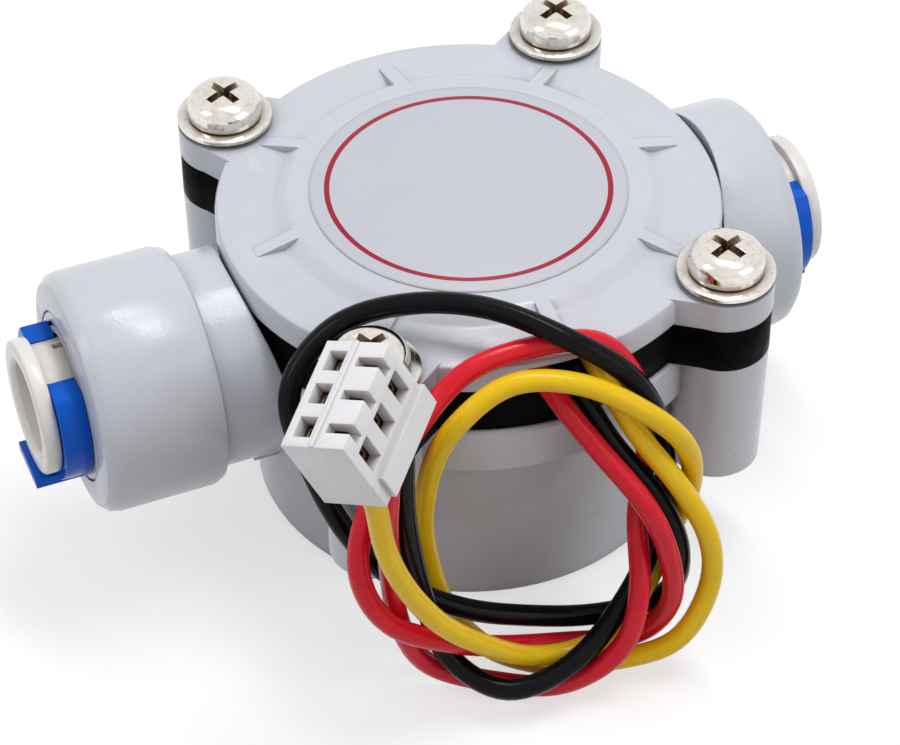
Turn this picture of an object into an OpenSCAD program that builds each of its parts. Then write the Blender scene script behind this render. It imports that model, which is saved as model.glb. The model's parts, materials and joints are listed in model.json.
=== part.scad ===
// Water flow sensor: two push-in tube ports on a round rotor chamber, closed by a
// black seal plate and a white cover on four screws, with a three-wire lead.
// All sizes in millimetres. The foot stands on z = 0, the ports lie along X.

/* [Housing] */
// Height of the housing from its foot to the joint with the seal plate
housing_height = 17.9; // [14:0.1:24]
// Outside radius of the flange
flange_radius = 17.6; // [15:0.1:22]
// Distance that the flange stands out from the wall
flange_lip = 1.1; // [0.5:0.1:3]
// Distance that the wall draws in towards the foot
wall_draft = 1; // [0:0.1:2]
// Height of the flange band
flange_height = 3.7; // [1:0.1:6]
// Thickness of the wall round the rotor chamber
wall_thick = 3.7; // [3.2:0.1:5]
// Thickness of the floor under the rotor chamber
floor_thick = 3.7; // [3:0.1:6]
// Depth of the hollow under the floor
foot_recess = 1.0; // [0:0.1:1.2]

/* [Seal plate] */
// Thickness of the black plate
plate_thick = 3.6; // [2:0.1:6]
// Distance of the black plate's edge inside the flange's
plate_inset = 0.35; // [0:0.05:1]
// Cord of the chamber seal
seal_cord = 1.8; // [1:0.1:2.4]
// Distance of the middle of the chamber seal from the chamber's edge
seal_out = 2; // [1.2:0.1:2.4]
// Part of the seal's cord that the joint squeezes away
seal_squeeze = 0.4; // [0:0.05:0.6]

/* [Cover] */
// Distance of the cover's edge inside the flange's
cover_inset = 0.1; // [0:0.05:1]
// Height of the cover's rim
cover_height = 2.2; // [1.5:0.1:4]
// Height of the raised middle above the rim
plateau_height = 0.8; // [0.4:0.1:2]
// Radius of the raised middle at its top
plateau_top = 12.45; // [9:0.05:14]
// Radius of the raised middle at its foot
plateau_foot = 13.5; // [10:0.05:15]
// Number of thin gussets round the raised middle
gusset_count = 8; // [0:1:12]
// Width of a gusset
gusset_width = 1.1; // [0.5:0.1:2]
// Radius of the round label
label_radius = 11; // [6:0.1:12]
// Thickness of the label
label_thick = 0.1; // [0.05:0.05:0.3]

/* [Screws] */
// Distance of the screws' middles outside the flange
screw_out = 1.5; // [0:0.05:3]
// Angle of the screws from the ports, in degrees
screw_angle = 48.1; // [40:0.1:60]
// Radius of the screw lugs
lug_radius = 3.35; // [2.5:0.05:4]
// Height of the lower end of the screw bosses
boss_foot = 7.4; // [2:0.1:12]
// Radius of the screw shanks
shank_radius = 1.4; // [1:0.05:1.8]
// Length of the screw shanks
shank_length = 14; // [8:0.5:16]
// Radius of the pan heads
head_radius = 2.6; // [2:0.05:3]
// Height of the pan heads
head_height = 1.9; // [1:0.05:2.5]
// Radius of the flat washers
washer_radius = 3.35; // [2.8:0.05:4]
// Thickness of the flat washers
washer_thick = 0.4; // [0.2:0.05:1]
// Thickness of the split washers under them
split_thick = 0.3; // [0.2:0.05:1]

/* [Ports] */
// Distance of the port axis below the joint with the seal plate
port_drop = 2.55; // [1:0.05:5]
// Distance of the left port's end face from the middle
left_reach = 29.45; // [24:0.05:36]
// Distance of the right port's end face from the middle
right_reach = 22.5; // [22:0.05:36]
// Outside radius of the port barrels
barrel_radius = 8.5; // [7:0.05:10]
// Outside radius of the left port's neck
neck_radius = 7.5; // [6:0.05:9]
// Length of the left port's barrel
barrel_length = 8.8; // [5:0.1:14]
// Radius of the flow nozzles
nozzle_radius = 1.6; // [0.8:0.05:2]
// Sideways offset of the flow nozzles, which sets the rotor turning
nozzle_offset = 1; // [0:0.1:1.5]
// Diameter of the tube that the ports take
tube_diameter = 6.35; // [4:0.05:8]

/* [Collets and clips] */
// Distance that a collet stands out of its port
collet_out = 3.1; // [2:0.05:5]
// Radius of the collet's outer flange
collet_flange = 4.75; // [4.2:0.05:6]
// Thickness of the collet's outer flange
collet_flange_thick = 1.1; // [0.5:0.05:2]
// Outside radius of the collet's sleeve
collet_sleeve = 4.15; // [3.6:0.05:4.4]
// Width of the locking clip along the port
clip_width = 1.9; // [1:0.05:2]
// Radial thickness of the locking clip
clip_thick = 1.2; // [0.6:0.05:2]
// Part of a full turn that the clip wraps, in degrees
clip_wrap = 264; // [200:1:300]

/* [Rotor] */
// Gap between the rotor's edge and the chamber's wall
rotor_gap = 1; // [0.3:0.1:4]
// Number of rotor blades
blade_count = 8; // [4:1:12]
// Radius of the axle
axle_radius = 0.75; // [0.5:0.05:1.5]

/* [Lead] */
// Outside diameter of each wire
wire_diameter = 1.5; // [1:0.1:1.8]
// Length of the plug's housing along the row of its ways
plug_length = 8; // [7.6:0.1:10]
// Thickness of the plug's housing across the row
plug_width = 4.6; // [4.4:0.1:6]
// Depth of the plug's housing from its mating face to the wires
plug_depth = 6.2; // [6:0.1:8]
// Distance between the plug's ways
way_pitch = 2.5; // [2.4:0.05:2.6]

/* [Fits] */
// Running clearance between the axle and the rotor, on the radius
run_clearance = 0.05; // [0.02:0.01:0.1]
// Clearance round parts that only sit in a hole, on the radius
seat_clearance = 0.05; // [0.02:0.01:0.2]
// Clearance round the screw shanks in the cover and the plate
screw_clearance = 0.2; // [0.1:0.05:0.4]
// Gap between a port's seal, grab ring, collet or clip and its neighbour along the port
stack_clearance = 0.05; // [0.02:0.01:0.1]

/* [Hidden] */

$fn = 96;
joint_z = housing_height;
plate_top = joint_z + plate_thick;
rim_top = plate_top + cover_height;
plateau_z = rim_top + plateau_height;
port_height = joint_z - port_drop;
wall_radius = flange_radius - flange_lip;
foot_radius = wall_radius - wall_draft;
plate_radius = flange_radius - plate_inset;
cover_radius = flange_radius - cover_inset;
chamber_radius = wall_radius - wall_thick;
chamber_depth = housing_height - floor_thick;
chamber_floor = floor_thick;
rotor_radius = chamber_radius - rotor_gap;
barrel_root = chamber_radius + 0.7;
seal_radius = chamber_radius + seal_out;
screw_reach = flange_radius + screw_out;
screw_x = screw_reach * cos(screw_angle);
screw_y = screw_reach * sin(screw_angle);
flange_foot = joint_z - flange_height;
socket_radius = tube_diameter / 2 + 0.1;

// Distances into a port from its end face
cartridge_depth = 2.2;
seal_depth = 1.7;
seat_depth = 0.3;
socket_depth = cartridge_depth + seal_depth + seat_depth;
cartridge_radius = 6;
port_seal_radius = 4.85;

// Seats in the housing
head_z = rim_top + split_thick + washer_thick;
foot_hollow = 12;
foot_middle = 4.5;
seal_groove = seal_cord + 0.3;
axle_boss = 0.8;
axle_boss_radius = 2.2;
axle_foot = chamber_floor - 1.2;
axle_hold = 1.2;
grip_clearance = 0.02;

// Lead exit and the board under it
exit_left = -3.6;
exit_right = 3.4;
exit_height = 1.75;
cavity_radius = cover_radius - 2.1;
cavity_roof = 0.95;
board_z = plate_top - 0.9;
board_thick = 0.8;
board_left = -6;
board_front = -12;
board_width = 12;
board_length = 14;
chip_front = -7;
chip_height = 1.45;
wire_z = plate_top + 0.15 + wire_diameter / 2;
wire_start = -10.5;
wire_exit = -18;
wire_x = [-2.1, -0.2, 1.7];

// Middle of the plug's mating face, and how the plug lies
plug_place = [-18.2, -22.5, 31.1];
plug_turn = [20, 15, -133];
crimp_depth = plug_depth - 0.8;

// Points that each wire follows between the cover and the plug
route_red = [
    [0, -21.5, 19], [2.5, -24.5, 15.5], [4, -25.5, 11], [4.5, -25.5, 6], [2.5, -24, 2],
    [-2.5, -22.5, 2], [-7, -22.5, 3.5], [-11, -23.5, 6.5], [-15.5, -23, 9.5], [-17, -21.5, 14],
    [-15, -19.5, 18], [-11.5, -18.5, 22], [-7.5, -17, 24.5], [-3, -17, 25], [2, -18, 25],
    [4.5, -19, 20.5], [5, -19.5, 15.5], [3, -22, 12], [2, -25.5, 8.5], [0.5, -26.5, 4],
    [-3.5, -25.5, 1], [-7.5, -23.5, 1], [-12, -21.5, 2.5], [-14, -21.5, 7.5], [-14.5, -21.5, 13],
    [-15, -22.5, 18.5]];
route_black = [
    [1.5, -20.5, 18], [4, -23.5, 14.5], [5.5, -24.5, 9.5], [5, -23.5, 4.5], [0.5, -22, 3],
    [-4.5, -21, 4], [-9, -20.5, 6], [-13, -19.5, 9], [-16, -17.5, 13], [-17.5, -15, 17.5],
    [-18, -11.5, 21.5], [-14, -10, 25], [-9, -11.5, 26.5], [-4.5, -14.5, 27], [-1, -18.5, 26.5],
    [3, -20.5, 23.5], [5, -21, 19], [5.5, -21.5, 14.5], [4, -23, 9.5], [1, -24.5, 6],
    [-3, -26, 3.5], [-8, -26, 2.5], [-11, -22.5, 4], [-12, -21.5, 8.5], [-13, -21.5, 14],
    [-13.5, -21.5, 19]];
route_yellow = [
    [3, -21.5, 19], [5, -24, 16], [7, -25.5, 11.5], [7, -26, 7], [4.5, -26.5, 3],
    [0.5, -25, 1.5], [-3.5, -23.5, 1], [-7, -20.5, 1], [-9.5, -18.5, 4.5], [-10.5, -18, 9.5],
    [-11, -18.5, 14], [-10.5, -19, 19], [-9, -19.5, 22.5], [-5, -19, 24.5], [-0.5, -20.5, 24],
    [3, -22.5, 22], [6, -23, 18.5], [7, -22.5, 14], [5.5, -22, 9], [3, -23.5, 5.5],
    [-0.5, -24.5, 3], [-5, -24, 3], [-8.5, -24.5, 6], [-12, -24.5, 9.5], [-14.5, -24.5, 14],
    [-16, -24.5, 18.5]];

gusset_end = screw_reach - washer_radius - 0.1;

module screw_places() {
    for (sx = [-1, 1])
        for (sy = [-1, 1])
            translate([sx * screw_x, sy * screw_y, 0])
                children();
}

// Turns a shape made along Z so that it stands out of the left or the right port
module at_port(side) {
    reach = side < 0 ? left_reach : right_reach;
    translate([side * reach, 0, port_height])
        rotate([0, side * 90, 0])
            children();
}

// Round lug with its web, in plan
module lug_plan(r) {
    screw_places()
        circle(r = r);
    for (a = [screw_angle, 180 - screw_angle, 180 + screw_angle, -screw_angle])
        rotate([0, 0, a])
            polygon([[screw_reach * 0.7, -r - 1.3], [screw_reach, -r],
                [screw_reach, r], [screw_reach * 0.7, r + 1.3]]);
}

module barrel(side) {
    reach = side < 0 ? left_reach : right_reach;
    rear = side < 0 ? barrel_length : right_reach - barrel_root;
    at_port(side)
        rotate_extrude()
            polygon([[0, -rear], [barrel_radius - 0.9, -rear],
                [barrel_radius - 0.25, -rear + 0.25], [barrel_radius, -rear + 0.9],
                [barrel_radius, -1.3], [barrel_radius - 0.15, -0.65],
                [barrel_radius - 0.6, -0.15], [barrel_radius - 1.2, 0], [0, 0]]);
    if (side < 0)
        at_port(side)
            translate([0, 0, barrel_root - reach])
                cylinder(r = neck_radius, h = reach - barrel_root - barrel_length + 1);
}

module port_bore(side) {
    reach = side < 0 ? left_reach : right_reach;
    at_port(side) {
        translate([0, 0, -cartridge_depth])
            cylinder(r = cartridge_radius + seat_clearance, h = cartridge_depth + 1);
        translate([0, 0, -cartridge_depth - seal_depth])
            cylinder(r = port_seal_radius + seat_clearance, h = seal_depth + 1);
        translate([0, 0, -socket_depth])
            cylinder(r = socket_radius, h = socket_depth + 1);
    }
    translate([side * 9, side * nozzle_offset, port_height - 1.15])
        rotate([0, side * 90, 0])
            cylinder(r = nozzle_radius, h = reach - 9 - socket_depth + 0.5, $fn = 48);
}

// Outside of the housing before anything is cut from it
module housing_form() {
    // wall with its draft and a small edge at the foot
    rotate_extrude()
        polygon([[0, 0], [foot_radius - 0.4, 0], [foot_radius, 0.4],
            [wall_radius, flange_foot], [wall_radius, joint_z], [0, joint_z]]);
    translate([0, 0, flange_foot])
        rotate_extrude()
            polygon([[0, 0], [flange_radius - 0.25, 0], [flange_radius, 0.25],
                [flange_radius, flange_height - 0.2],
                [flange_radius - 0.2, flange_height], [0, flange_height]]);
    // screw bosses, drawn in a little towards the foot
    screw_places()
        rotate_extrude()
            translate([0, boss_foot])
                polygon([[0, 0], [lug_radius - 0.5, 0], [lug_radius - 0.2, 0.35],
                    [lug_radius - 0.05, joint_z - boss_foot], [0, joint_z - boss_foot]]);
    barrel(-1);
    barrel(1);
    // pads that carry the ports on the wall
    for (side = [-1, 1])
        translate([side * (wall_radius - 2) - 3, -3, boss_foot])
            cube([6, 6, port_height - boss_foot]);
}

module housing() {
    color([0.86, 0.87, 0.90])
        difference() {
            union() {
                difference() {
                    housing_form();
                    // room for the plate and the cover above the joint
                    translate([0, 0, joint_z])
                        cylinder(r = flange_radius + 0.15, h = 20);
                    // rotor chamber
                    translate([0, 0, chamber_floor])
                        cylinder(r = chamber_radius, h = chamber_depth + 1);
                }
                // boss round the foot of the axle
                translate([0, 0, chamber_floor - 0.5])
                    cylinder(r = axle_boss_radius, h = 0.5 + axle_boss, $fn = 48);
            }
            // groove for the chamber seal
            translate([0, 0, joint_z - seal_cord + seal_squeeze])
                rotate_extrude()
                    translate([seal_radius - seal_groove / 2, 0])
                        square([seal_groove, seal_cord]);
            port_bore(-1);
            port_bore(1);
            screw_places()
                translate([0, 0, head_z - shank_length - 0.6])
                    cylinder(r = shank_radius + grip_clearance, h = shank_length + 10, $fn = 48);
            // hollow under the floor, round the middle that backs the axle
            translate([0, 0, -1])
                rotate_extrude()
                    translate([foot_middle, 0])
                        square([foot_hollow - foot_middle, foot_recess + 1]);
            // hole that holds the axle
            translate([0, 0, axle_foot])
                cylinder(r = axle_radius + grip_clearance, h = 6, $fn = 48);
        }
}

module seal() {
    h = seal_cord - seal_squeeze;
    w = seal_groove / 2 - 0.05;
    color([0.12, 0.12, 0.12])
        translate([0, 0, joint_z - h])
            rotate_extrude()
                translate([seal_radius, 0])
                    polygon([[-w * 0.6, 0], [w * 0.6, 0], [w, h * 0.3], [w, h * 0.7],
                        [w * 0.6, h], [-w * 0.6, h], [-w, h * 0.7], [-w, h * 0.3]]);
}

module seal_plate() {
    color([0.05, 0.05, 0.05])
        difference() {
            union() {
                translate([0, 0, joint_z])
                    linear_extrude(plate_thick) {
                        circle(r = plate_radius);
                        lug_plan(lug_radius - 0.05);
                    }
                // boss that steadies the top of the axle
                translate([0, 0, joint_z - axle_boss])
                    cylinder(r = axle_boss_radius, h = axle_boss + 0.1, $fn = 48);
            }
            translate([0, 0, joint_z - 2])
                cylinder(r = axle_radius + grip_clearance, h = 2 + axle_hold, $fn = 48);
            screw_places()
                translate([0, 0, joint_z - 1])
                    cylinder(r = shank_radius + screw_clearance, h = plate_thick + 2, $fn = 48);
            // bed of the board and of the chip under it
            translate([board_left - 0.1, board_front - 0.1, board_z])
                cube([board_width + 0.2, board_length + 0.2, 5]);
            translate([-2.1, chip_front - 0.1, board_z - chip_height - 0.05])
                cube([4.2, 3.2, 5]);
        }
}

module cover() {
    color([0.86, 0.87, 0.90])
        difference() {
            union() {
                translate([0, 0, plate_top])
                    rotate_extrude()
                        polygon([[0, 0], [cover_radius - 0.1, 0], [cover_radius, 0.1],
                            [cover_radius, cover_height - 0.45],
                            [cover_radius - 0.13, cover_height - 0.13],
                            [cover_radius - 0.45, cover_height],
                            [plateau_foot + 0.2, cover_height],
                            [plateau_foot - 0.15, cover_height + 0.15],
                            [plateau_top + 0.2, cover_height + plateau_height - 0.1],
                            [plateau_top - 0.1, cover_height + plateau_height],
                            [0, cover_height + plateau_height]]);
                translate([0, 0, plate_top])
                    linear_extrude(cover_height)
                        lug_plan(lug_radius);
                // thin gussets round the raised middle
                for (k = [0 : gusset_count - 1])
                    rotate([0, 0, k * 360 / gusset_count])
                        translate([0, gusset_width / 2, rim_top])
                            rotate([90, 0, 0])
                                linear_extrude(gusset_width)
                                    polygon([[plateau_top - 1, -0.5], [gusset_end, -0.5],
                                        [gusset_end, 0.02],
                                        [plateau_top + 0.4, plateau_height - 0.08],
                                        [plateau_top - 1, plateau_height - 0.08]]);
            }
            // hollow over the board
            translate([0, 0, plate_top - 1])
                cylinder(r = cavity_radius, h = cover_height - cavity_roof + 1);
            translate([0, 0, plate_top - 1])
                cylinder(r = plateau_top - 1, h = cover_height + plateau_height - 1 + 1);
            screw_places()
                translate([0, 0, plate_top - 1])
                    cylinder(r = shank_radius + screw_clearance, h = cover_height + 4, $fn = 48);
            // notch that lets the lead out
            translate([0, wire_start, plate_top])
                rotate([90, 0, 0])
                    linear_extrude(10)
                        polygon([[exit_left - 0.6, -1], [exit_left - 0.6, 0.1],
                            [exit_left, 0.35], [exit_left + 0.35, exit_height - 0.25],
                            [exit_left + 0.7, exit_height], [exit_right - 0.5, exit_height],
                            [exit_right, exit_height - 0.5], [exit_right, -1]]);
        }
}

module label() {
    color([0.88, 0.89, 0.91])
        translate([0, 0, plateau_z])
            cylinder(r = label_radius, h = label_thick);
}

module screws() {
    color([0.78, 0.74, 0.68])
        screw_places()
            translate([0, 0, head_z])
                difference() {
                    union() {
                        rotate_extrude($fn = 48)
                            polygon([[0, 0], [head_radius - 0.1, 0], [head_radius, 0.12],
                                [head_radius, head_height * 0.45],
                                [head_radius * 0.95, head_height * 0.68],
                                [head_radius * 0.82, head_height * 0.86],
                                [head_radius * 0.6, head_height * 0.96],
                                [head_radius * 0.3, head_height], [0, head_height]]);
                        translate([0, 0, -shank_length])
                            cylinder(r1 = 0.7, r2 = shank_radius, h = 1.2, $fn = 48);
                        translate([0, 0, 1.2 - shank_length])
                            cylinder(r = shank_radius, h = shank_length - 1, $fn = 48);
                    }
                    // cross recess that narrows towards its foot
                    for (a = [0, 90])
                        rotate([90, 0, a + 22])
                            translate([0, 0, -0.31])
                                linear_extrude(0.62)
                                    polygon([[-0.55, head_height - 1.2], [0.55, head_height - 1.2],
                                        [1.5, head_height + 0.1], [-1.5, head_height + 0.1]]);
                }
}

module washers() {
    color([0.83, 0.81, 0.78])
        screw_places()
            translate([0, 0, rim_top + split_thick])
                difference() {
                    cylinder(r = washer_radius, h = washer_thick, $fn = 64);
                    translate([0, 0, -1])
                        cylinder(r = shank_radius + screw_clearance, h = 3, $fn = 48);
                }
}

module split_washers() {
    color([0.25, 0.24, 0.24])
        screw_places()
            translate([0, 0, rim_top])
                difference() {
                    cylinder(r = washer_radius - 0.35, h = split_thick, $fn = 64);
                    translate([0, 0, -1])
                        cylinder(r = shank_radius + screw_clearance, h = 3, $fn = 48);
                    rotate([0, 0, 200])
                        translate([0, -0.15, -1])
                            cube([5, 0.3, 3]);
                }
}

module axle() {
    color([0.75, 0.75, 0.77])
        translate([0, 0, axle_foot])
            cylinder(r = axle_radius, h = joint_z + axle_hold - 0.05 - axle_foot, $fn = 48);
}

hub_foot = chamber_floor + axle_boss + run_clearance;
hub_top = joint_z - axle_boss - run_clearance;
magnet_radius = 1.5;
magnet_length = 3;
magnet_place = 7;

module rotor() {
    color([0.92, 0.92, 0.90])
        difference() {
            union() {
                translate([0, 0, hub_foot])
                    cylinder(r = 2.4, h = hub_top - hub_foot, $fn = 64);
                translate([0, 0, hub_foot + 0.4])
                    cylinder(r = rotor_radius, h = 1);
                for (k = [0 : blade_count - 1])
                    rotate([0, 0, k * 360 / blade_count])
                        translate([1.5, -0.55, hub_foot + 0.8])
                            cube([rotor_radius - 1.7, 1.1, hub_top - hub_foot - 2.2]);
                // sockets for the magnets on four of the blades
                for (a = [0 : 90 : 270])
                    rotate([0, 0, a])
                        translate([magnet_place, 0, hub_foot + 0.8])
                            cylinder(r = magnet_radius + 0.8, h = hub_top - hub_foot - 1.4, $fn = 48);
            }
            translate([0, 0, hub_foot - 1])
                cylinder(r = axle_radius + run_clearance, h = 20, $fn = 48);
            for (a = [0 : 90 : 270])
                rotate([0, 0, a])
                    translate([magnet_place, 0, hub_top - 0.6 - magnet_length])
                        cylinder(r = magnet_radius + 0.02, h = 10, $fn = 48);
        }
}

module magnets() {
    color([0.45, 0.45, 0.47])
        for (a = [0 : 90 : 270])
            rotate([0, 0, a])
                translate([magnet_place, 0, hub_top - 0.6 - magnet_length])
                    cylinder(r = magnet_radius, h = magnet_length - 0.05, $fn = 48);
}

module circuit_board() {
    color([0.10, 0.35, 0.20])
        translate([board_left, board_front, board_z])
            cube([board_width, board_length, board_thick]);
}

module hall_chip() {
    color([0.08, 0.08, 0.08])
        translate([-2, chip_front, board_z - chip_height])
            cube([4, 3, chip_height]);
}

module board_parts() {
    color([0.62, 0.52, 0.38])
        for (x = [-3.6, 0.2, 3.2])
            translate([x - 0.6, -3.2, board_z + board_thick])
                cube([1.2, 2, 0.7]);
}

module solder() {
    color([0.72, 0.73, 0.75])
        for (x = wire_x)
            translate([x - 0.6, wire_start, board_z + board_thick])
                cube([1.2, 1.2, 1.5]);
}

// Ring pressed into a port's end, which keeps the seal and the grab ring in
module cartridge(side) {
    ring_in = collet_sleeve + seat_clearance;
    color([0.84, 0.85, 0.88])
        at_port(side)
            difference() {
                translate([0, 0, -cartridge_depth])
                    rotate_extrude()
                        polygon([[ring_in, 0], [cartridge_radius, 0],
                            [cartridge_radius, cartridge_depth - 0.15],
                            [cartridge_radius - 0.15, cartridge_depth],
                            [ring_in + 0.35, cartridge_depth], [ring_in, cartridge_depth - 0.35]]);
                // groove round the face
                translate([0, 0, -0.25])
                    difference() {
                        cylinder(r = cartridge_radius - 0.7, h = 1);
                        translate([0, 0, -1])
                            cylinder(r = cartridge_radius - 1.05, h = 3);
                    }
                // bed of the grab ring
                translate([0, 0, -cartridge_depth - 1])
                    cylinder(r = port_seal_radius, h = 1.5);
            }
}

module port_seal(side) {
    h = seal_depth - stack_clearance;
    r = port_seal_radius;
    inner = socket_radius + 0.05;
    color([0.10, 0.10, 0.10])
        at_port(side)
            translate([0, 0, -cartridge_depth - seal_depth])
                rotate_extrude()
                    polygon([[inner + 0.35, 0], [r - 0.35, 0], [r, 0.35], [r, h - 0.35],
                        [r - 0.35, h], [inner + 0.35, h], [inner, h - 0.35], [inner, 0.35]]);
}

// Toothed steel ring that grips the tube
module grab_ring(side) {
    outer = port_seal_radius - 0.1;
    color([0.72, 0.73, 0.76])
        at_port(side)
            translate([0, 0, -cartridge_depth + stack_clearance])
                difference() {
                    cylinder(r = outer, h = 0.5 - 2 * stack_clearance);
                    translate([0, 0, -1])
                        cylinder(r = tube_diameter / 2 + 0.05, h = 3);
                    for (k = [0 : 11])
                        rotate([0, 0, k * 30])
                            translate([0, -0.3, -1])
                                cube([outer - 0.5, 0.6, 3]);
                }
}

module collet(side) {
    bore = tube_diameter / 2 + 0.075;
    foot = cartridge_depth - 0.5 - stack_clearance;
    color([0.90, 0.88, 0.82])
        at_port(side)
            difference() {
                rotate_extrude()
                    polygon([[bore, -foot], [collet_sleeve, -foot],
                        [collet_sleeve, collet_out - collet_flange_thick],
                        [collet_flange, collet_out - collet_flange_thick],
                        [collet_flange, collet_out - 0.15], [collet_flange - 0.15, collet_out],
                        [bore + 0.3, collet_out], [bore, collet_out - 0.3]]);
                // slits between the fingers that close on the tube
                for (k = [0 : 3])
                    rotate([0, 0, 12 + k * 90])
                        translate([2, -0.3, -foot - 1])
                            cube([4, 0.6, foot + 1.55]);
            }
}

module clip(side) {
    inner = collet_sleeve + seat_clearance;
    outer = inner + clip_thick;
    half = clip_wrap / 2;
    gap = (collet_out - collet_flange_thick - clip_width) / 2;
    // at_port turns Z into the port's axis: up is -X on the right, X on the left
    down = side < 0 ? 180 : 0;
    color([0.0, 0.32, 0.85])
        at_port(side)
            rotate([0, 0, down])
                translate([0, 0, gap]) {
                    difference() {
                        cylinder(r = outer, h = clip_width);
                        translate([0, 0, -1])
                            cylinder(r = inner, h = clip_width + 2);
                        // mouth of the clip, its ends cut level
                        translate([-10 - outer * cos(180 - half), -6, -1])
                            cube([10, 12, clip_width + 2]);
                    }
                    // finger tab under the collet's flange
                    translate([collet_flange + 0.2, -2.1, 0])
                        cube([0.75, 4.2, clip_width + 1.5]);
                    translate([outer - 0.5, -2.1, 0])
                        cube([0.5, 4.2, clip_width]);
                }
}

// A point of the plug's own frame, where X runs along its ways and Z out of its mating face
function turned(v, a) =
    let (x = [v[0], v[1] * cos(a[0]) - v[2] * sin(a[0]), v[1] * sin(a[0]) + v[2] * cos(a[0])])
    let (y = [x[0] * cos(a[1]) + x[2] * sin(a[1]), x[1], x[2] * cos(a[1]) - x[0] * sin(a[1])])
    [y[0] * cos(a[2]) - y[1] * sin(a[2]), y[0] * sin(a[2]) + y[1] * cos(a[2]), y[2]];

module at_plug() {
    translate(plug_place)
        rotate(plug_turn)
            children();
}

// Housing of the plug: a row of sockets, and windows that show the contacts' locks
module plug() {
    flange_depth = plug_depth - 4.25;
    color([0.90, 0.90, 0.88])
        at_plug()
            difference() {
                union() {
                    translate([-plug_length / 2, -plug_width / 2, -plug_depth])
                        cube([plug_length, plug_width, plug_depth]);
                    // ledge that locks in the socket
                    translate([-plug_length / 2, plug_width / 2 - 1, -plug_depth])
                        cube([plug_length, 1.45, flange_depth]);
                    // rib between the sockets and the slots
                    translate([-plug_length / 2, -0.15, -0.5])
                        cube([plug_length, 0.3, 0.65]);
                }
                translate([plug_length / 2 - 0.8, plug_width / 2 + 0.05, -plug_depth - 1])
                    cube([2, 2, flange_depth + 2]);
                for (k = [-1, 0, 1])
                    translate([k * way_pitch, 0, 0])
                        plug_way();
            }
}

// Everything that is cut from the plug for one wire
module plug_way() {
    translate([-0.75, -1.75, -0.9])
        cube([1.5, 1.3, 2]);
    translate([-0.8, -1.75, 0.9 - crimp_depth])
        cube([1.6, 3.15, crimp_depth - 1.8]);
    // slot across the mating face and the lock's window below it
    translate([-0.35, 0.5, -1.2])
        cube([0.7, plug_width, 3]);
    translate([-0.65, 1.1, -3.7])
        cube([1.3, plug_width, 2.1]);
    translate([0, 0, -plug_depth - 1])
        cylinder(r = wire_diameter / 2 + seat_clearance, h = 1 + plug_depth - crimp_depth, $fn = 32);
    translate([0, 0, -plug_depth])
        cylinder(r = 0.6 + seat_clearance, h = 2, $fn = 32);
}

// Crimped contact: a square socket with its lock, on a round crimp
module contact(k) {
    color([0.72, 0.58, 0.30])
        at_plug()
            translate([(k - 2) * way_pitch, 0, 0])
                difference() {
                    union() {
                        translate([-0.75, -1.7, 0.95 - crimp_depth])
                            cube([1.5, 3.05, crimp_depth - 1.95]);
                        translate([0, 0, -crimp_depth])
                            cylinder(r = 0.6, h = 1.5, $fn = 32);
                    }
                    translate([-0.45, -1.4, 1.5 - crimp_depth])
                        cube([0.9, 0.9, crimp_depth]);
                    translate([-0.45, 0.9, -3.3])
                        cube([0.9, 1, 1.2]);
                }
}

function unit(v) = v / norm(v);

function heading(p, i) =
    let (last = len(p) - 1)
    let (before = i > 0 ? unit(p[i] - p[i - 1]) : unit(p[1] - p[0]))
    let (after = i < last ? unit(p[i + 1] - p[i]) : before)
    unit(before + after);

// Sideways vectors along a line, each turned as little as can be from the one before
function sideways(t, found) =
    len(found) == len(t) ? found :
    let (ahead = t[len(found)])
    let (s = found[len(found) - 1])
    sideways(t, concat(found, [unit(s - (s * ahead) * ahead)]));

// Round tube along a line of points
module tube(p) {
    sides = 8;
    t = [for (i = [0 : len(p) - 1]) heading(p, i)];
    a = sideways(t, [[1, 0, 0]]);
    points = [for (i = [0 : len(p) - 1]) for (k = [0 : sides - 1])
        let (turn = k * 360 / sides)
        p[i] + wire_diameter / 2 * (cos(turn) * a[i] + sin(turn) * cross(t[i], a[i]))];
    skin = [for (i = [0 : len(p) - 2]) for (k = [0 : sides - 1]) for (half = [0, 1])
        let (k2 = (k + 1) % sides)
        half == 0 ? [i * sides + k, (i + 1) * sides + k, (i + 1) * sides + k2] :
        [i * sides + k, (i + 1) * sides + k2, i * sides + k2]];
    first = [for (k = [0 : sides - 1]) k];
    end = [for (k = [sides - 1 : -1 : 0]) (len(p) - 1) * sides + k];
    polyhedron(points, concat([first, end], skin));
}

// One wire from the solder on the board, out through the cover and into its way in the plug
module wire(place, route, way) {
    start = [[wire_x[place], wire_start, wire_z], [wire_x[place], wire_exit, wire_z]];
    finish = [for (z = [-plug_depth - 1.8, -crimp_depth])
        plug_place + turned([way * way_pitch, 0, z], plug_turn)];
    tube(concat(start, route, finish));
}

module wire_red() {
    color([0.80, 0.10, 0.12])
        wire(0, route_red, 0);
}

module wire_black() {
    color([0.05, 0.05, 0.06])
        wire(1, route_black, -1);
}

module wire_yellow() {
    color([0.93, 0.78, 0.12])
        wire(2, route_yellow, 1);
}

housing();
seal();
seal_plate();
cover();
label();
screws();
washers();
split_washers();
axle();
rotor();
magnets();
circuit_board();
hall_chip();
board_parts();
solder();
wire_red();
wire_black();
wire_yellow();
plug();
contact(1);  // contact_1
contact(2);  // contact_2
contact(3);  // contact_3
cartridge(-1);  // left_cartridge
port_seal(-1);  // left_seal
grab_ring(-1);  // left_grab_ring
collet(-1);  // left_collet
clip(-1);  // left_clip
cartridge(1);  // right_cartridge
port_seal(1);  // right_seal
grab_ring(1);  // right_grab_ring
collet(1);  // right_collet
clip(1);  // right_clip
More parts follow.
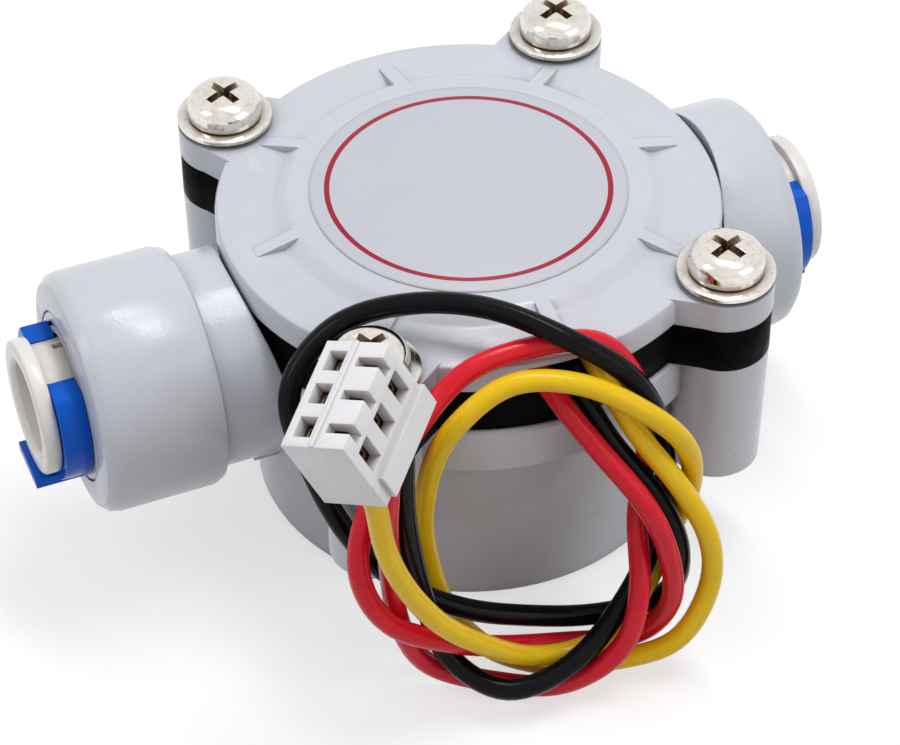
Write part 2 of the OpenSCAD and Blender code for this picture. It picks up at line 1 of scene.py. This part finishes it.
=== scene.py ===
"""Looks of the water flow sensor: its materials, its free wires, a camera and a plain studio.

Everything is in metres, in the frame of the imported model.
"""
import json
import math

import bpy
from mathutils import Euler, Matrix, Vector


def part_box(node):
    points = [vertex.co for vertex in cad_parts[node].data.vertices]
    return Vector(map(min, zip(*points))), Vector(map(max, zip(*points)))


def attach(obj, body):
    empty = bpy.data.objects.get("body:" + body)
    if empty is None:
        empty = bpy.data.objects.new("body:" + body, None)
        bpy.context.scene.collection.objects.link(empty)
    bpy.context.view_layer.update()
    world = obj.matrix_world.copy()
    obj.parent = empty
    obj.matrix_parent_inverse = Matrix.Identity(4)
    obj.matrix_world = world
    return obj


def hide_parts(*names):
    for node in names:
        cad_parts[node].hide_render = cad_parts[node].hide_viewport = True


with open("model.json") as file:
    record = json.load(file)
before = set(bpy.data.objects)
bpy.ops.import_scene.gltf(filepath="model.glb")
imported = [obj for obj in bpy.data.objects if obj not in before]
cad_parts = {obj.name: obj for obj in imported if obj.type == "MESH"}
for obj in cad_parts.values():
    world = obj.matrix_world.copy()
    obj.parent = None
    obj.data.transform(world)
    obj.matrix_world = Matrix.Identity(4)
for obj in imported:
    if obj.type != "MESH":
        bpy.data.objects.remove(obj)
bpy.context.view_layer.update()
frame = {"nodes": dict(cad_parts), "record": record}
NODES = frame["nodes"]
MM = 0.001


def add_object(name, data):
    thing = bpy.data.objects.new(name, data)
    bpy.context.scene.collection.objects.link(thing)
    return thing


def aim(thing, at, to, roll=0.0):
    """Puts a camera or a lamp at one point and turns it towards another."""
    thing.location = at
    thing.rotation_mode = "QUATERNION"
    look = (to - at).to_track_quat("-Z", "Y")
    thing.rotation_quaternion = look @ Euler((0, 0, roll)).to_quaternion()


# Camera

CAMERA_AT = Vector((-65.8, -158.0, 166.5)) * MM
CAMERA_TO = Vector((-2.51, -2.64, 10.21)) * MM
CAMERA_ROLL = math.radians(-0.21)
CAMERA_LENS = 129.2
CAMERA_SENSOR = 36.0
CAMERA_RANGE = (0.01, 10.0)


def make_camera():
    data = bpy.data.cameras.new("camera")
    data.lens = CAMERA_LENS
    data.sensor_width = CAMERA_SENSOR
    data.sensor_fit = "HORIZONTAL"
    data.clip_start, data.clip_end = CAMERA_RANGE
    camera = add_object("camera", data)
    aim(camera, CAMERA_AT, CAMERA_TO, CAMERA_ROLL)
    bpy.context.scene.camera = camera


# Wires

WIRE_WIDTH = 1.5 * MM

# a wire's first straight, from its solder joint to the notch of the cover, in millimetres
WIRE_START_Y, WIRE_EXIT_Y, WIRE_Z = -10.5, -18.0, 22.4

# the plug's place and turn, and a wire's last two points on the plug's own axis
PLUG_AT = Vector((-18.2, -22.5, 31.1))
PLUG_TURN = Euler([math.radians(angle) for angle in (20, 15, -133)])
PLUG_POINTS = (-8.0, -5.4)
WAY_PITCH = 2.5

# the route points of part.scad between the cover and the plug, in millimetres
ROUTE_RED = [
    (0, -21.5, 19), (2.5, -24.5, 15.5), (4, -25.5, 11), (4.5, -25.5, 6),
    (2.5, -24, 2), (-2.5, -22.5, 2), (-7, -22.5, 3.5), (-11, -23.5, 6.5),
    (-15.5, -23, 9.5), (-17, -21.5, 14), (-15, -19.5, 18), (-11.5, -18.5, 22),
    (-7.5, -17, 24.5), (-3, -17, 25), (2, -18, 25), (4.5, -19, 20.5),
    (5, -19.5, 15.5), (3, -22, 12), (2, -25.5, 8.5), (0.5, -26.5, 4),
    (-3.5, -25.5, 1), (-7.5, -23.5, 1), (-12, -21.5, 2.5), (-14, -21.5, 7.5),
    (-14.5, -21.5, 13), (-15, -22.5, 18.5)]
ROUTE_BLACK = [
    (1.5, -20.5, 18), (4, -23.5, 14.5), (5.5, -24.5, 9.5), (5, -23.5, 4.5),
    (0.5, -22, 3), (-4.5, -21, 4), (-9, -20.5, 6), (-13, -19.5, 9),
    (-16, -17.5, 13), (-17.5, -15, 17.5), (-18, -11.5, 21.5), (-14, -10, 25),
    (-9, -11.5, 26.5), (-4.5, -14.5, 27), (-1, -18.5, 26.5), (3, -20.5, 23.5),
    (5, -21, 19), (5.5, -21.5, 14.5), (4, -23, 9.5), (1, -24.5, 6),
    (-3, -26, 3.5), (-8, -26, 2.5), (-11, -22.5, 4), (-12, -21.5, 8.5),
    (-13, -21.5, 14), (-13.5, -21.5, 19)]
ROUTE_YELLOW = [
    (3, -21.5, 19), (5, -24, 16), (7, -25.5, 11.5), (7, -26, 7),
    (4.5, -26.5, 3), (0.5, -25, 1.5), (-3.5, -23.5, 1), (-7, -20.5, 1),
    (-9.5, -18.5, 4.5), (-10.5, -18, 9.5), (-11, -18.5, 14), (-10.5, -19, 19),
    (-9, -19.5, 22.5), (-5, -19, 24.5), (-0.5, -20.5, 24), (3, -22.5, 22),
    (6, -23, 18.5), (7, -22.5, 14), (5.5, -22, 9), (3, -23.5, 5.5),
    (-0.5, -24.5, 3), (-5, -24, 3), (-8.5, -24.5, 6), (-12, -24.5, 9.5),
    (-14.5, -24.5, 14), (-16, -24.5, 18.5)]

# each wire's place across the cover, its way in the plug and its route
ROUTES = {
    "wire_red": (-2.1, 0, ROUTE_RED),
    "wire_black": (-0.2, -1, ROUTE_BLACK),
    "wire_yellow": (1.7, 1, ROUTE_YELLOW),
}

# how far a curve rounds off the corners of its route, from 0 to 1
EASE = 0.6
# steps of a curve from one route point to the next
CURVE_STEPS = 8


def curve_along(points, steps):
    """A smooth curve between the one through the points and the one that rounds them off."""
    ends = [2 * points[0] - points[1]] + points + [2 * points[-1] - points[-2]]
    line = []
    for a, b, c, d in zip(ends, ends[1:], ends[2:], ends[3:]):
        for i in range(steps):
            t = i / steps
            through = (2 * b + (c - a) * t + (2 * a - 5 * b + 4 * c - d) * t * t
                       + (3 * b - a - 3 * c + d) * t ** 3) / 2
            rounded = ((1 - t) ** 3 * a + (3 * t ** 3 - 6 * t * t + 4) * b
                       + (1 + 3 * t + 3 * t * t - 3 * t ** 3) * c + t ** 3 * d) / 6
            line.append(through.lerp(rounded, EASE))
    return line + [points[-1]]


def wire_line(x, way, route):
    """The middle line of a wire from its solder joint into the plug, in metres."""
    points = [Vector((x, y, WIRE_Z)) for y in (WIRE_START_Y, WIRE_EXIT_Y)]
    points += [Vector(point) for point in route]
    for z in PLUG_POINTS:
        at = Vector((way * WAY_PITCH, 0, z))
        at.rotate(PLUG_TURN)
        points.append(PLUG_AT + at)
    return [point * MM for point in curve_along(points, CURVE_STEPS)]


def make_wire(node, x, way, route):
    line = wire_line(x, way, route)
    data = bpy.data.curves.new("free_" + node, "CURVE")
    data.dimensions = "3D"
    # the points' own radius gives the thickness, and keeps the curve's box tight
    data.bevel_depth = 1.0
    data.bevel_resolution = 4
    data.use_fill_caps = True
    spline = data.splines.new("POLY")
    spline.points.add(len(line) - 1)
    for point, at in zip(spline.points, line):
        point.co = (*at, 1.0)
        point.radius = WIRE_WIDTH / 2
    spline.use_smooth = True
    wire = add_object("free_" + node, data)
    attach(wire, "sensor")
    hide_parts(node)
    return wire


make_camera()
WIRES = {node: make_wire(node, x, way, route) for node, (x, way, route) in ROUTES.items()}


# Materials

# the label's own radius, and how far in from it the printed rings lie, in millimetres
LABEL_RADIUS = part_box("label")[1][0] / MM
RED_RING_INSET, RED_RING_WIDTH = 1.24, 0.38
GREY_RING_INSET, GREY_RING_WIDTH = 0.07, 0.16


class Nodes:
    """A node tree with short ways to add nodes and to join them."""

    def __init__(self, tree):
        self.tree = tree

    def add(self, kind, **settings):
        node = self.tree.nodes.new(kind)
        for key, value in settings.items():
            setattr(node, key, value)
        return node

    def link(self, source, socket):
        self.tree.links.new(source, socket)

    def ramp(self, source, low, high, to_low=0.0, to_high=1.0, **settings):
        """Maps one range onto another, and stays within it."""
        node = self.add("ShaderNodeMapRange", **settings)
        for key, value in zip(("From Min", "From Max", "To Min", "To Max"), (low, high, to_low, to_high)):
            node.inputs[key].default_value = value
        self.link(source, node.inputs["Value"])
        return node.outputs[0]

    def math(self, operation, a, b=None):
        node = self.add("ShaderNodeMath", operation=operation)
        for socket, value in zip(node.inputs, (a, b)):
            if isinstance(value, (int, float)):
                socket.default_value = value
            elif value is not None:
                self.link(value, socket)
        return node.outputs[0]

    def distance(self, place, scale):
        """Distance from the origin, with each axis scaled first."""
        stretch = self.add("ShaderNodeVectorMath", operation="MULTIPLY")
        stretch.inputs[1].default_value = scale
        self.link(place, stretch.inputs[0])
        length = self.add("ShaderNodeVectorMath", operation="LENGTH")
        self.link(stretch.outputs[0], length.inputs[0])
        return length.outputs["Value"]


class Look(Nodes):
    """A material being built: one shader whose inputs come from small procedural parts."""

    # noise lies mostly between these values
    NOISE_LOW, NOISE_HIGH = 0.3, 0.7
    # a mix node has its own sockets for each kind of data, and these are the colours
    MIX_A, MIX_B, MIX_RESULT = 6, 7, 2
    # half the soft edge of a printed ring, in millimetres
    RING_BLUR = 0.02
    # rays that look for near walls and edges
    NEAR_SAMPLES = 6

    def __init__(self, name, colour, roughness, metallic=0.0):
        self.material = bpy.data.materials.new(name)
        self.material.use_nodes = True
        super().__init__(self.material.node_tree)
        self.shader = self.tree.nodes["Principled BSDF"]
        self.shader.inputs["Metallic"].default_value = metallic
        self.place = self.add("ShaderNodeTexCoord").outputs["Object"]
        plain = self.add("ShaderNodeRGB")
        plain.outputs[0].default_value = (*colour, 1)
        self.colour = plain.outputs[0]
        self.roughness = roughness
        self.normal = None

    def fixed(self, **values):
        """Numbers that are the same all over the surface."""
        for key, value in values.items():
            self.shader.inputs[key.replace("_", " ")].default_value = value
        return self

    def noise(self, size, detail=2.0, rough=0.5):
        """Noise whose lumps are about that many millimetres wide."""
        texture = self.add("ShaderNodeTexNoise")
        texture.inputs["Scale"].default_value = 1 / (size * MM)
        texture.inputs["Detail"].default_value = detail
        texture.inputs["Roughness"].default_value = rough
        self.link(self.place, texture.inputs["Vector"])
        return texture.outputs["Fac"]

    def tint(self, mask, colour):
        """Lays another colour over the one so far, as strongly as the mask says."""
        mix = self.add("ShaderNodeMix", data_type="RGBA")
        self.link(mask, mix.inputs["Factor"])
        self.link(self.colour, mix.inputs[self.MIX_A])
        mix.inputs[self.MIX_B].default_value = (*colour, 1)
        self.colour = mix.outputs[self.MIX_RESULT]
        return self

    def cloud(self, size, colour, low=0.35, high=0.75, amount=1.0, detail=3.0):
        """Soft patches of another colour."""
        return self.tint(self.ramp(self.noise(size, detail), low, high, 0, amount), colour)

    def shine(self, size, spread):
        """Roughness that wanders round its middle value."""
        wander = self.ramp(self.noise(size, 3.0), self.NOISE_LOW, self.NOISE_HIGH,
                           self.roughness - spread, self.roughness + spread)
        self.link(wander, self.shader.inputs["Roughness"])
        return self

    def soften(self, radius):
        """Edges that catch the light as if rounded off by that many millimetres."""
        node = self.add("ShaderNodeBevel", samples=self.NEAR_SAMPLES)
        node.inputs["Radius"].default_value = radius * MM
        self.normal = node.outputs[0]
        return self

    def bump(self, source, depth):
        """Relief of that many millimetres, on top of any that is there."""
        node = self.add("ShaderNodeBump")
        node.inputs["Distance"].default_value = depth * MM
        self.link(source, node.inputs["Height"])
        if self.normal is not None:
            self.link(self.normal, node.inputs["Normal"])
        self.normal = node.outputs[0]
        return self

    def ring(self, middle, width):
        """Mask of a thin printed ring round the Z axis, in millimetres."""
        radius = self.distance(self.place, (1 / MM, 1 / MM, 0))
        off = self.math("ABSOLUTE", self.math("SUBTRACT", radius, middle))
        return self.ramp(off, width / 2 - self.RING_BLUR, width / 2 + self.RING_BLUR, 1, 0)

    def corner(self, reach, low, high):
        """Mask of the deep places, where walls stand within that many millimetres; it sets where shade is
        painted into the colour.
        """
        node = self.add("ShaderNodeAmbientOcclusion", samples=self.NEAR_SAMPLES)
        node.inputs["Distance"].default_value = reach * MM
        return self.ramp(node.outputs["AO"], low, high, 1, 0)

    def done(self):
        self.link(self.colour, self.shader.inputs["Base Color"])
        self.link(self.normal, self.shader.inputs["Normal"])
        return self.material


def scaled(colour, factor):
    return [channel * factor for channel in colour]


def moulded(name, colour, roughness, grain=0.35, relief=0.012, shade=0.94, round_off=0.12):
    """Injection moulded plastic: rounded edges, faint clouds, an orange-peel skin and fine pits."""
    look = Look(name, colour, roughness)
    look.soften(round_off)
    look.cloud(7.0, scaled(colour, shade), amount=0.6)
    look.cloud(0.9, scaled(colour, 1 + (1 - shade) / 2), 0.5, 0.8, 0.18)
    look.shine(1.6, 0.35 * roughness)
    look.bump(look.noise(grain, 2.0, 0.45), relief)
    look.bump(look.noise(2.6, 1.0), relief * 1.6)
    return look


def white_plastic():
    look = moulded("white_plastic", (0.66, 0.68, 0.745), 0.22, 0.30, 0.009, round_off=0.2)
    # painted shade: the colour darkens in corners, recesses and gaps between parts
    look.tint(look.corner(1.4, 0.30, 0.9), (0.40, 0.41, 0.45))
    return look.fixed(IOR=1.47, Specular_IOR_Level=0.4).done()


def label_film():
    """Printed film: a crimson ring, and a fine grey one along the edge."""
    look = Look("label_film", (0.60, 0.61, 0.68), 0.34)
    look.cloud(5.0, (0.575, 0.59, 0.66), amount=0.7)
    look.cloud(0.35, (0.62, 0.63, 0.69), 0.5, 0.75, 0.5, 2.0)
    look.tint(look.ring(LABEL_RADIUS - RED_RING_INSET, RED_RING_WIDTH), (0.37, 0.005, 0.028))
    look.tint(look.ring(LABEL_RADIUS - GREY_RING_INSET, GREY_RING_WIDTH), (0.52, 0.53, 0.57))
    look.shine(2.2, 0.06)
    look.bump(look.noise(0.25, 2.0), 0.003)
    look.bump(look.noise(6.0, 1.0), 0.03)
    return look.fixed(IOR=1.46, Specular_IOR_Level=0.35).done()


def black_plastic():
    look = moulded("black_plastic", (0.002, 0.002, 0.003), 0.40, 0.3, 0.012)
    look.cloud(1.8, (0.005, 0.005, 0.006), 0.5, 0.8, 0.7)
    return look.fixed(IOR=1.3, Specular_IOR_Level=0.05).done()


def rubber():
    look = moulded("seal_rubber", (0.016, 0.016, 0.017), 0.55, 0.2, 0.01)
    return look.fixed(IOR=1.4, Specular_IOR_Level=0.15).done()


def metal(name, colour, reflection_and_shade, roughness, relief=0.006, reflection_patches=1.0, depth=0.35):
    """Plated metal: fine scratches, darker clouds painted in as reflections, and painted shade in the
    corners.
    """
    look = Look(name, colour, roughness, 1.0)
    # painted reflection: darker patches of the second colour, large and fine
    look.cloud(1.1, reflection_and_shade, 0.48, 0.78, 0.75 * reflection_patches)
    look.cloud(0.28, scaled(colour, 0.72), 0.5, 0.75, 0.6)
    # painted shade: the corners and the screws' cross recess darken towards the second colour, scaled by
    # depth
    look.tint(look.corner(0.9, 0.35, 0.95), scaled(reflection_and_shade, depth))
    look.shine(0.7, 0.4 * roughness)
    look.soften(0.08)
    look.bump(look.noise(0.12, 3.0, 0.6), relief)
    look.bump(look.noise(1.2, 1.5, 0.5), relief)
    return look.done()


def sheath(name, colour, light, roughness=0.22, gloss=0.3):
    """Extruded wire sheath: faint clouds and a soft waxy shine."""
    look = Look(name, colour, roughness)
    look.cloud(3.0, light, 0.4, 0.75, 0.6)
    look.cloud(0.5, scaled(colour, 0.82), 0.5, 0.8, 0.4)
    look.shine(1.2, 0.3 * roughness)
    look.bump(look.noise(0.5, 2.0), 0.012)
    look.bump(look.noise(3.5, 1.0), 0.03)
    return look.fixed(IOR=1.42, Specular_IOR_Level=gloss).done()


def nylon():
    look = moulded("plug_plastic", (0.90, 0.89, 0.92), 0.36, 0.22, 0.010, 0.95)
    # painted shade: the colour darkens in corners, recesses and gaps between parts
    look.tint(look.corner(1.2, 0.35, 0.95), (0.50, 0.47, 0.46))
    look.fixed(Subsurface_Weight=0.1, Subsurface_Scale=0.0006)
    return look.fixed(IOR=1.5, Specular_IOR_Level=0.35).done()


def collet_plastic():
    look = moulded("collet_plastic", (0.92, 0.88, 0.83), 0.26, 0.3, 0.008)
    # painted shade: the colour darkens in corners, recesses and gaps between parts
    look.tint(look.corner(1.2, 0.30, 0.9), (0.54, 0.50, 0.48))
    return look.fixed(IOR=1.47, Specular_IOR_Level=0.4).done()


def clip_blue():
    look = moulded("clip_blue", (0.001, 0.12, 0.70), 0.20, 0.4, 0.010, 0.75)
    return look.fixed(IOR=1.42, Specular_IOR_Level=0.18).done()


def board():
    look = Look("board", (0.012, 0.11, 0.045), 0.32)
    look.cloud(2.0, (0.02, 0.15, 0.06), 0.45, 0.7)
    look.shine(1.0, 0.08)
    return look.bump(look.noise(0.2), 0.008).done()


def ceramic():
    look = Look("board_part", (0.42, 0.30, 0.17), 0.4)
    look.cloud(0.6, (0.30, 0.21, 0.12), 0.4, 0.7)
    look.shine(0.5, 0.1)
    return look.bump(look.noise(0.15), 0.008).done()


MATERIALS = {
    "white_plastic": white_plastic(),
    "black_plastic": black_plastic(),
    "seal_rubber": rubber(),
    "label_film": label_film(),
    "screw_steel": metal("screw_steel", (0.80, 0.76, 0.70), (0.36, 0.27, 0.19), 0.12, 0.003, 0.5, 0.8),
    "washer_steel": metal("washer_steel", (0.80, 0.77, 0.72), (0.50, 0.41, 0.32), 0.18, 0.004, 0.7),
    "spring_steel": metal("spring_steel", (0.30, 0.29, 0.28), (0.12, 0.09, 0.07), 0.30),
    "axle_steel": metal("axle_steel", (0.72, 0.72, 0.73), (0.55, 0.54, 0.53), 0.18, reflection_patches=0.4),
    "rotor_plastic": moulded("rotor_plastic", (0.80, 0.79, 0.75), 0.42, 0.25).done(),
    "magnet": metal("magnet", (0.40, 0.40, 0.41), (0.24, 0.23, 0.22), 0.36),
    "board": board(),
    "chip": moulded("chip", (0.02, 0.02, 0.02), 0.5, 0.12, 0.01).done(),
    "board_part": ceramic(),
    "solder": metal("solder", (0.66, 0.67, 0.69), (0.45, 0.45, 0.46), 0.3),
    "wire_red": sheath("wire_red", (0.78, 0.009, 0.026), (0.86, 0.025, 0.045)),
    "wire_black": sheath("wire_black", (0.003, 0.003, 0.004), (0.008, 0.008, 0.010), 0.20, 0.14),
    "wire_yellow": sheath("wire_yellow", (0.95, 0.60, 0.006), (0.98, 0.67, 0.015)),
    "plug_plastic": nylon(),
    "contact_brass": metal("contact_brass", (0.52, 0.38, 0.20), (0.22, 0.13, 0.07), 0.34),
    "collet_plastic": collet_plastic(),
    "clip_blue": clip_blue(),
}


# Edges and shading

# points closer than this, in metres, are one point
WELD = 1e-6
SHARP_ANGLE = math.radians(32)
ROUNDED_ANGLE = math.radians(40)

# widths of the rounded edges, in millimetres
EDGES = {
    "plug": 0.2, "seal_plate": 0.12, "left_clip": 0.16, "right_clip": 0.16,
    "left_collet": 0.1, "right_collet": 0.1, "washers": 0.08, "label": 0.03,
    "contact_1": 0.05, "contact_2": 0.05, "contact_3": 0.05, "circuit_board": 0.05,
    "hall_chip": 0.12, "board_parts": 0.1, "solder": 0.35, "rotor": 0.1,
}


def shading_group():
    """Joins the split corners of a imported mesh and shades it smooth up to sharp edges."""
    group = bpy.data.node_groups.new("even_shading", "GeometryNodeTree")
    for in_out in ("INPUT", "OUTPUT"):
        group.interface.new_socket("Geometry", in_out=in_out, socket_type="NodeSocketGeometry")
    nodes = Nodes(group)
    source = nodes.add("NodeGroupInput")
    target = nodes.add("NodeGroupOutput")
    merge = nodes.add("GeometryNodeMergeByDistance")
    merge.inputs["Distance"].default_value = WELD
    shade = nodes.add("GeometryNodeSetMeshNormal", mode="SHARPNESS")
    angle = nodes.add("GeometryNodeInputMeshEdgeAngle")
    sharp = nodes.add("FunctionNodeCompare", operation="GREATER_THAN")
    sharp.inputs[1].default_value = SHARP_ANGLE
    nodes.link(source.outputs[0], merge.inputs["Geometry"])
    nodes.link(merge.outputs[0], shade.inputs["Mesh"])
    nodes.link(angle.outputs["Unsigned Angle"], sharp.inputs[0])
    nodes.link(sharp.outputs[0], shade.inputs["Edge Sharpness"])
    nodes.link(shade.outputs[0], target.inputs[0])
    return group


SHADING = shading_group()


def dress(node, slot):
    """Gives a CAD node its material, rounded edges and even shading."""
    piece = NODES[node]
    piece.data.materials.clear()
    piece.data.materials.append(MATERIALS[slot])
    weld = piece.modifiers.new("weld", "WELD")
    weld.merge_threshold = WELD
    if node in EDGES:
        bevel = piece.modifiers.new("edges", "BEVEL")
        bevel.width = EDGES[node] * MM
        bevel.segments = 2
        bevel.limit_method = "ANGLE"
        bevel.angle_limit = ROUNDED_ANGLE
        bevel.use_clamp_overlap = True
    piece.modifiers.new("shading", "NODES").node_group = SHADING


for row in frame["record"]["subparts"]:
    if row["node"] in WIRES:
        WIRES[row["node"]].data.materials.append(MATERIALS[row["material_slot"]])
    else:
        dress(row["node"], row["material_slot"])


# Studio

WHITE = (1, 1, 1, 1)
# how strongly the white world lights the object, where 1 is white
WORLD_LEVEL = 0.42

FLOOR_HALF = 3.0
PAPER = (0.50, 0.50, 0.51, 1)
# the lamps fade away from the object, so the paper's own white grows between these distances
GLOW_REACH = (0.06, 0.55)
GLOW_LEVEL = (0.60, 0.86)

LAMPS_TO = Vector((0, -0.005, 0.015))
# each lamp's place, watts, width and depth
LAMPS = {
    "key": ((0.08, 0.02, 0.40), 0.70, 0.26, 0.07),
    "fill": ((0.25, -0.35, 0.25), 0.27, 0.30, 0.30),
    "side": ((-0.30, 0.02, 0.30), 0.25, 0.10, 0.20),
}


def seen_directly(nodes):
    """1 for rays from the camera and for those that gloss or glass sends on."""
    path = nodes.add("ShaderNodeLightPath")
    seen = path.outputs["Is Camera Ray"]
    for name in ("Is Glossy Ray", "Is Transmission Ray"):
        seen = nodes.math("MAXIMUM", seen, path.outputs[name])
    return seen


def make_world():
    world = bpy.data.worlds.new("studio")
    bpy.context.scene.world = world
    world.use_nodes = True
    nodes = Nodes(world.node_tree)
    background = world.node_tree.nodes["Background"]
    background.inputs["Color"].default_value = WHITE
    level = nodes.ramp(seen_directly(nodes), 0, 1, WORLD_LEVEL, 1)
    nodes.link(level, background.inputs["Strength"])


def paper():
    """White paper that takes shadows, and is white where it is seen."""
    material = bpy.data.materials.new("floor")
    material.use_nodes = True
    nodes = Nodes(material.node_tree)
    nodes.tree.nodes.clear()
    matt = nodes.add("ShaderNodeBsdfDiffuse")
    matt.inputs["Color"].default_value = PAPER
    away = nodes.distance(nodes.add("ShaderNodeTexCoord").outputs["Object"], (1, 1, 1))
    white = nodes.ramp(away, *GLOW_REACH, *GLOW_LEVEL, interpolation_type="SMOOTHSTEP")
    glow = nodes.add("ShaderNodeEmission")
    nodes.link(nodes.math("MULTIPLY", seen_directly(nodes), white), glow.inputs["Strength"])
    both = nodes.add("ShaderNodeAddShader")
    nodes.link(matt.outputs[0], both.inputs[0])
    nodes.link(glow.outputs[0], both.inputs[1])
    nodes.link(both.outputs[0], nodes.add("ShaderNodeOutputMaterial").inputs["Surface"])
    return material


def make_floor():
    data = bpy.data.meshes.new("floor")
    corners = [(-1, -1), (1, -1), (1, 1), (-1, 1)]
    data.from_pydata([(x * FLOOR_HALF, y * FLOOR_HALF, 0) for x, y in corners], [], [(0, 1, 2, 3)])
    data.materials.append(paper())
    add_object("floor", data)


def make_lamp(name, at, watts, width, depth):
    data = bpy.data.lights.new(name, "AREA")
    data.shape = "RECTANGLE"
    data.energy = watts
    data.size = width
    data.size_y = depth
    aim(add_object(name, data), Vector(at), LAMPS_TO)


make_world()
make_floor()
for name, lamp in LAMPS.items():
    make_lamp(name, *lamp)

bpy.context.scene.view_settings.view_transform = "Standard"
